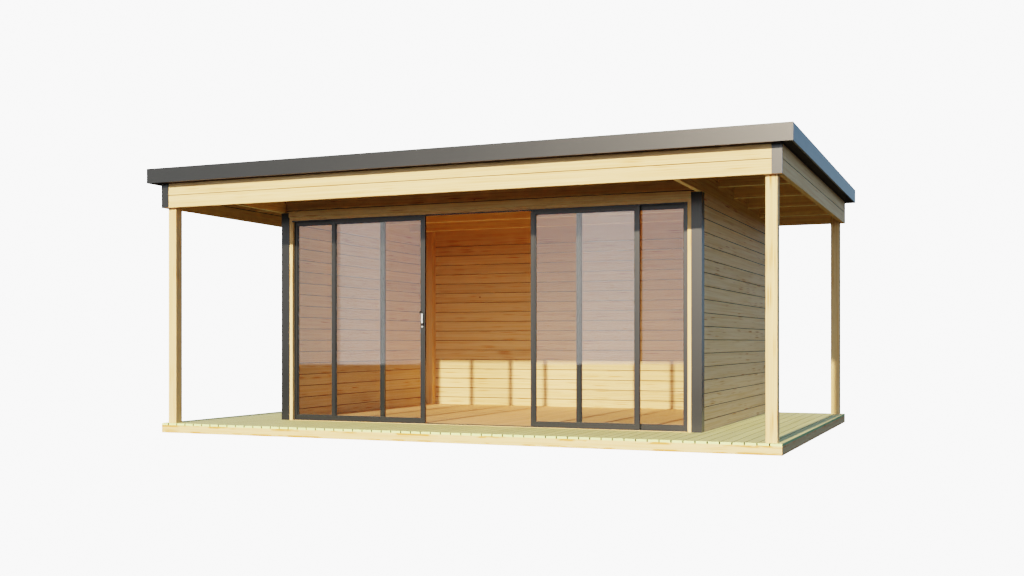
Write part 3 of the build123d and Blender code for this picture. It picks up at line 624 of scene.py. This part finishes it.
sheet_low, sheet_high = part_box("roof_membrane")
upstand_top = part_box("eaves_boxes")[1].z - UPSTAND_DROP
sheet_front = sheet_high.z
sheet_back = sheet_low.z + UPSTAND
near, far = sheet_low.y, sheet_high.y
left, right = sheet_low.x, sheet_high.x
upstand_mesh = bmesh.new()
for (x0, x1), (y0, y1), (foot_near, foot_far) in (
        ((left, right), (near, near + UPSTAND), (sheet_front, sheet_front)),
        ((left, right), (far - UPSTAND, far), (sheet_back, sheet_back)),
        ((left, left + UPSTAND), (near + UPSTAND, far - UPSTAND), (sheet_front, sheet_back)),
        ((right - UPSTAND, right), (near + UPSTAND, far - UPSTAND), (sheet_front, sheet_back))):
    foot = [upstand_mesh.verts.new(corner) for corner in ((x0, y0, foot_near), (x1, y0, foot_near),
                                                          (x1, y1, foot_far), (x0, y1, foot_far))]
    brim = [upstand_mesh.verts.new((corner.co.x, corner.co.y, upstand_top)) for corner in foot]
    upstand_mesh.faces.new(reversed(foot))
    upstand_mesh.faces.new(brim)
    for i in range(4):
        upstand_mesh.faces.new((foot[i - 1], foot[i], brim[i], brim[i - 1]))
turned_up = bpy.data.meshes.new("membrane_upstand")
upstand_mesh.to_mesh(turned_up)
upstand_mesh.free()
turned_up.materials.append(membrane)
upstand = bpy.data.objects.new("membrane_upstand", turned_up)
bpy.context.scene.collection.objects.link(upstand)
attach(upstand, "cabin")

# Eaves: boxes of boards on the ring beam, painted near-black brown as painted shade, closed by folded metal
# fascias.
# Metal angles cover the corners of the beam and of the cabin, all powder coated like the doors.
EAVES_SHADE = {"pale": "#2E1F14", "dark": "#23170E", "streak": "#3A2616", "knot": "#150D08"}
shaded_eaves = timber("eaves_painted_shade", "X", EAVES_SHADE, streaks=0.2)
dress(shaded_eaves, "eaves_boxes")
dress(anthracite, "front_fascia", "back_fascia", "left_fascia", "right_fascia", "cabin_corner_trims",
      "beam_corner_trims")

# Stage: a plain pale floor that is evenly lit, so that it runs into the background.
FLOOR_HALF = 60.0
WHITE = "#FFFFFF"
PALE = 5.0
floor_mesh = bpy.data.meshes.new("studio_floor")
floor_mesh.from_pydata([(-FLOOR_HALF, -FLOOR_HALF, 0.0), (FLOOR_HALF, -FLOOR_HALF, 0.0),
                        (FLOOR_HALF, FLOOR_HALF, 0.0), (-FLOOR_HALF, FLOOR_HALF, 0.0)], [], [(0, 1, 2, 3)])
studio_floor = bpy.data.objects.new("studio_floor", floor_mesh)
bpy.context.scene.collection.objects.link(studio_floor)
pale_floor, tree = blank("pale_studio_floor")
glow = fit(tree, "ShaderNodeEmission", {"Color": srgb(WHITE), "Strength": PALE})
fit(tree, "ShaderNodeOutputMaterial", {"Surface": glow.outputs[0]})
floor_mesh.materials.append(pale_floor)
studio_floor.visible_glossy = False
studio_floor.visible_diffuse = False
studio_floor.visible_transmission = False

# Key light: low, warm and hard, almost square to the front.
KEY_HEIGHT = math.radians(21.0)
KEY_TURN = math.radians(-0.5)
KEY_SPREAD = math.radians(1.0)
KEY_STRENGTH = 9.6
KEY_COLOUR = "#FFEBD0"
key = bpy.data.lights.new("key_light", "SUN")
key.energy = KEY_STRENGTH
key.angle = KEY_SPREAD
key.color = srgb(KEY_COLOUR)[:3]
key_lamp = bpy.data.objects.new("key_light", key)
key_lamp.rotation_euler = (math.pi / 2 - KEY_HEIGHT, 0.0, KEY_TURN)
bpy.context.scene.collection.objects.link(key_lamp)

# Soft light: blue from above, a broad white panel low before the front, dimmer to the left, and a dim ground.
HORIZON = -0.0202
DOME = ((0.0, "#B0CDE0"), (0.25, "#90B7DF"), (1.0, "#7FACE2"))
DOME_STRENGTH = 1.0
PANEL_LEFT = 1.365
PANEL_RIGHT = 2.496
# Where the panel begins and is full, as directions to the front, downwards and from left to right.
PANEL_AHEAD = (-0.35, -0.85)
PANEL_DOWN = (0.42, 0.2)
PANEL_ACROSS = (-0.75, -0.1)
GROUND = "#3A3832"
world = bpy.data.worlds.new("studio_light")
bpy.context.scene.world = world
world.use_nodes = True
tree = world.node_tree
tree.nodes.clear()
way = fit(tree, "ShaderNodeTexCoord").outputs["Generated"]
way = fit(tree, "ShaderNodeSeparateXYZ", {"Vector": way}).outputs
dome = fit(tree, "ShaderNodeValToRGB", {"Fac": way["Z"]})
dome.color_ramp.elements.new(DOME[1][0])
for stop, (height, colour) in zip(dome.color_ramp.elements, DOME):
    stop.position = height
    stop.color = srgb(colour)
ahead = fit(tree, "ShaderNodeMapRange", {"Value": way["Y"], "From Min": PANEL_AHEAD[0],
                                         "From Max": PANEL_AHEAD[1]},
            interpolation_type="SMOOTHSTEP").outputs[0]
down = fit(tree, "ShaderNodeMapRange", {"Value": way["Z"], "From Min": PANEL_DOWN[0],
                                        "From Max": PANEL_DOWN[1]}).outputs[0]
panel = fit(tree, "ShaderNodeMath", {0: ahead, 1: down}, operation="MULTIPLY").outputs[0]
light = fit(tree, "ShaderNodeMix", {0: panel, 6: dome.outputs[0], 7: srgb(WHITE)}, data_type="RGBA").outputs[2]
above = fit(tree, "ShaderNodeMapRange", {"Value": way["Z"], "From Min": HORIZON, "From Max": HORIZON + 0.002})
light = fit(tree, "ShaderNodeMix", {0: above.outputs[0], 6: srgb(GROUND), 7: light}, data_type="RGBA").outputs[2]
bright = fit(tree, "ShaderNodeMapRange", {"Value": way["X"], "From Min": PANEL_ACROSS[0],
                                          "From Max": PANEL_ACROSS[1],
                                          "To Min": PANEL_LEFT, "To Max": PANEL_RIGHT}).outputs[0]
strength = fit(tree, "ShaderNodeMapRange", {"Value": panel, "To Min": DOME_STRENGTH, "To Max": bright})
soft = fit(tree, "ShaderNodeBackground", {"Color": light, "Strength": strength.outputs[0]})
backdrop = fit(tree, "ShaderNodeBackground", {"Color": srgb(WHITE), "Strength": PALE})
seen = fit(tree, "ShaderNodeLightPath").outputs["Is Camera Ray"]
shown = fit(tree, "ShaderNodeMixShader", {0: seen, 1: soft.outputs[0], 2: backdrop.outputs[0]})
fit(tree, "ShaderNodeOutputWorld", {"Surface": shown.outputs[0]})

# Camera: level, at the photograph's angle, with its picture moved up as a view camera does.
SENSOR_WIDTH = 36.0
FOCAL_LENGTH = 40.217
PICTURE_RISE = 0.05305
CAMERA_PLACE = (4.5691, -11.2088, 0.8953)
CAMERA_TURN = math.radians(22.794)
FARTHEST = 300.0
lens = bpy.data.cameras.new("camera")
lens.sensor_fit = "HORIZONTAL"
lens.sensor_width = SENSOR_WIDTH
lens.lens = FOCAL_LENGTH
lens.shift_y = PICTURE_RISE
lens.clip_end = FARTHEST
camera = bpy.data.objects.new("camera", lens)
camera.location = CAMERA_PLACE
camera.rotation_euler = (math.pi / 2, 0.0, CAMERA_TURN)
bpy.context.scene.collection.objects.link(camera)
bpy.context.scene.camera = camera
bpy.context.scene.view_settings.view_transform = "Filmic"
bpy.context.scene.view_settings.look = "Medium High Contrast"
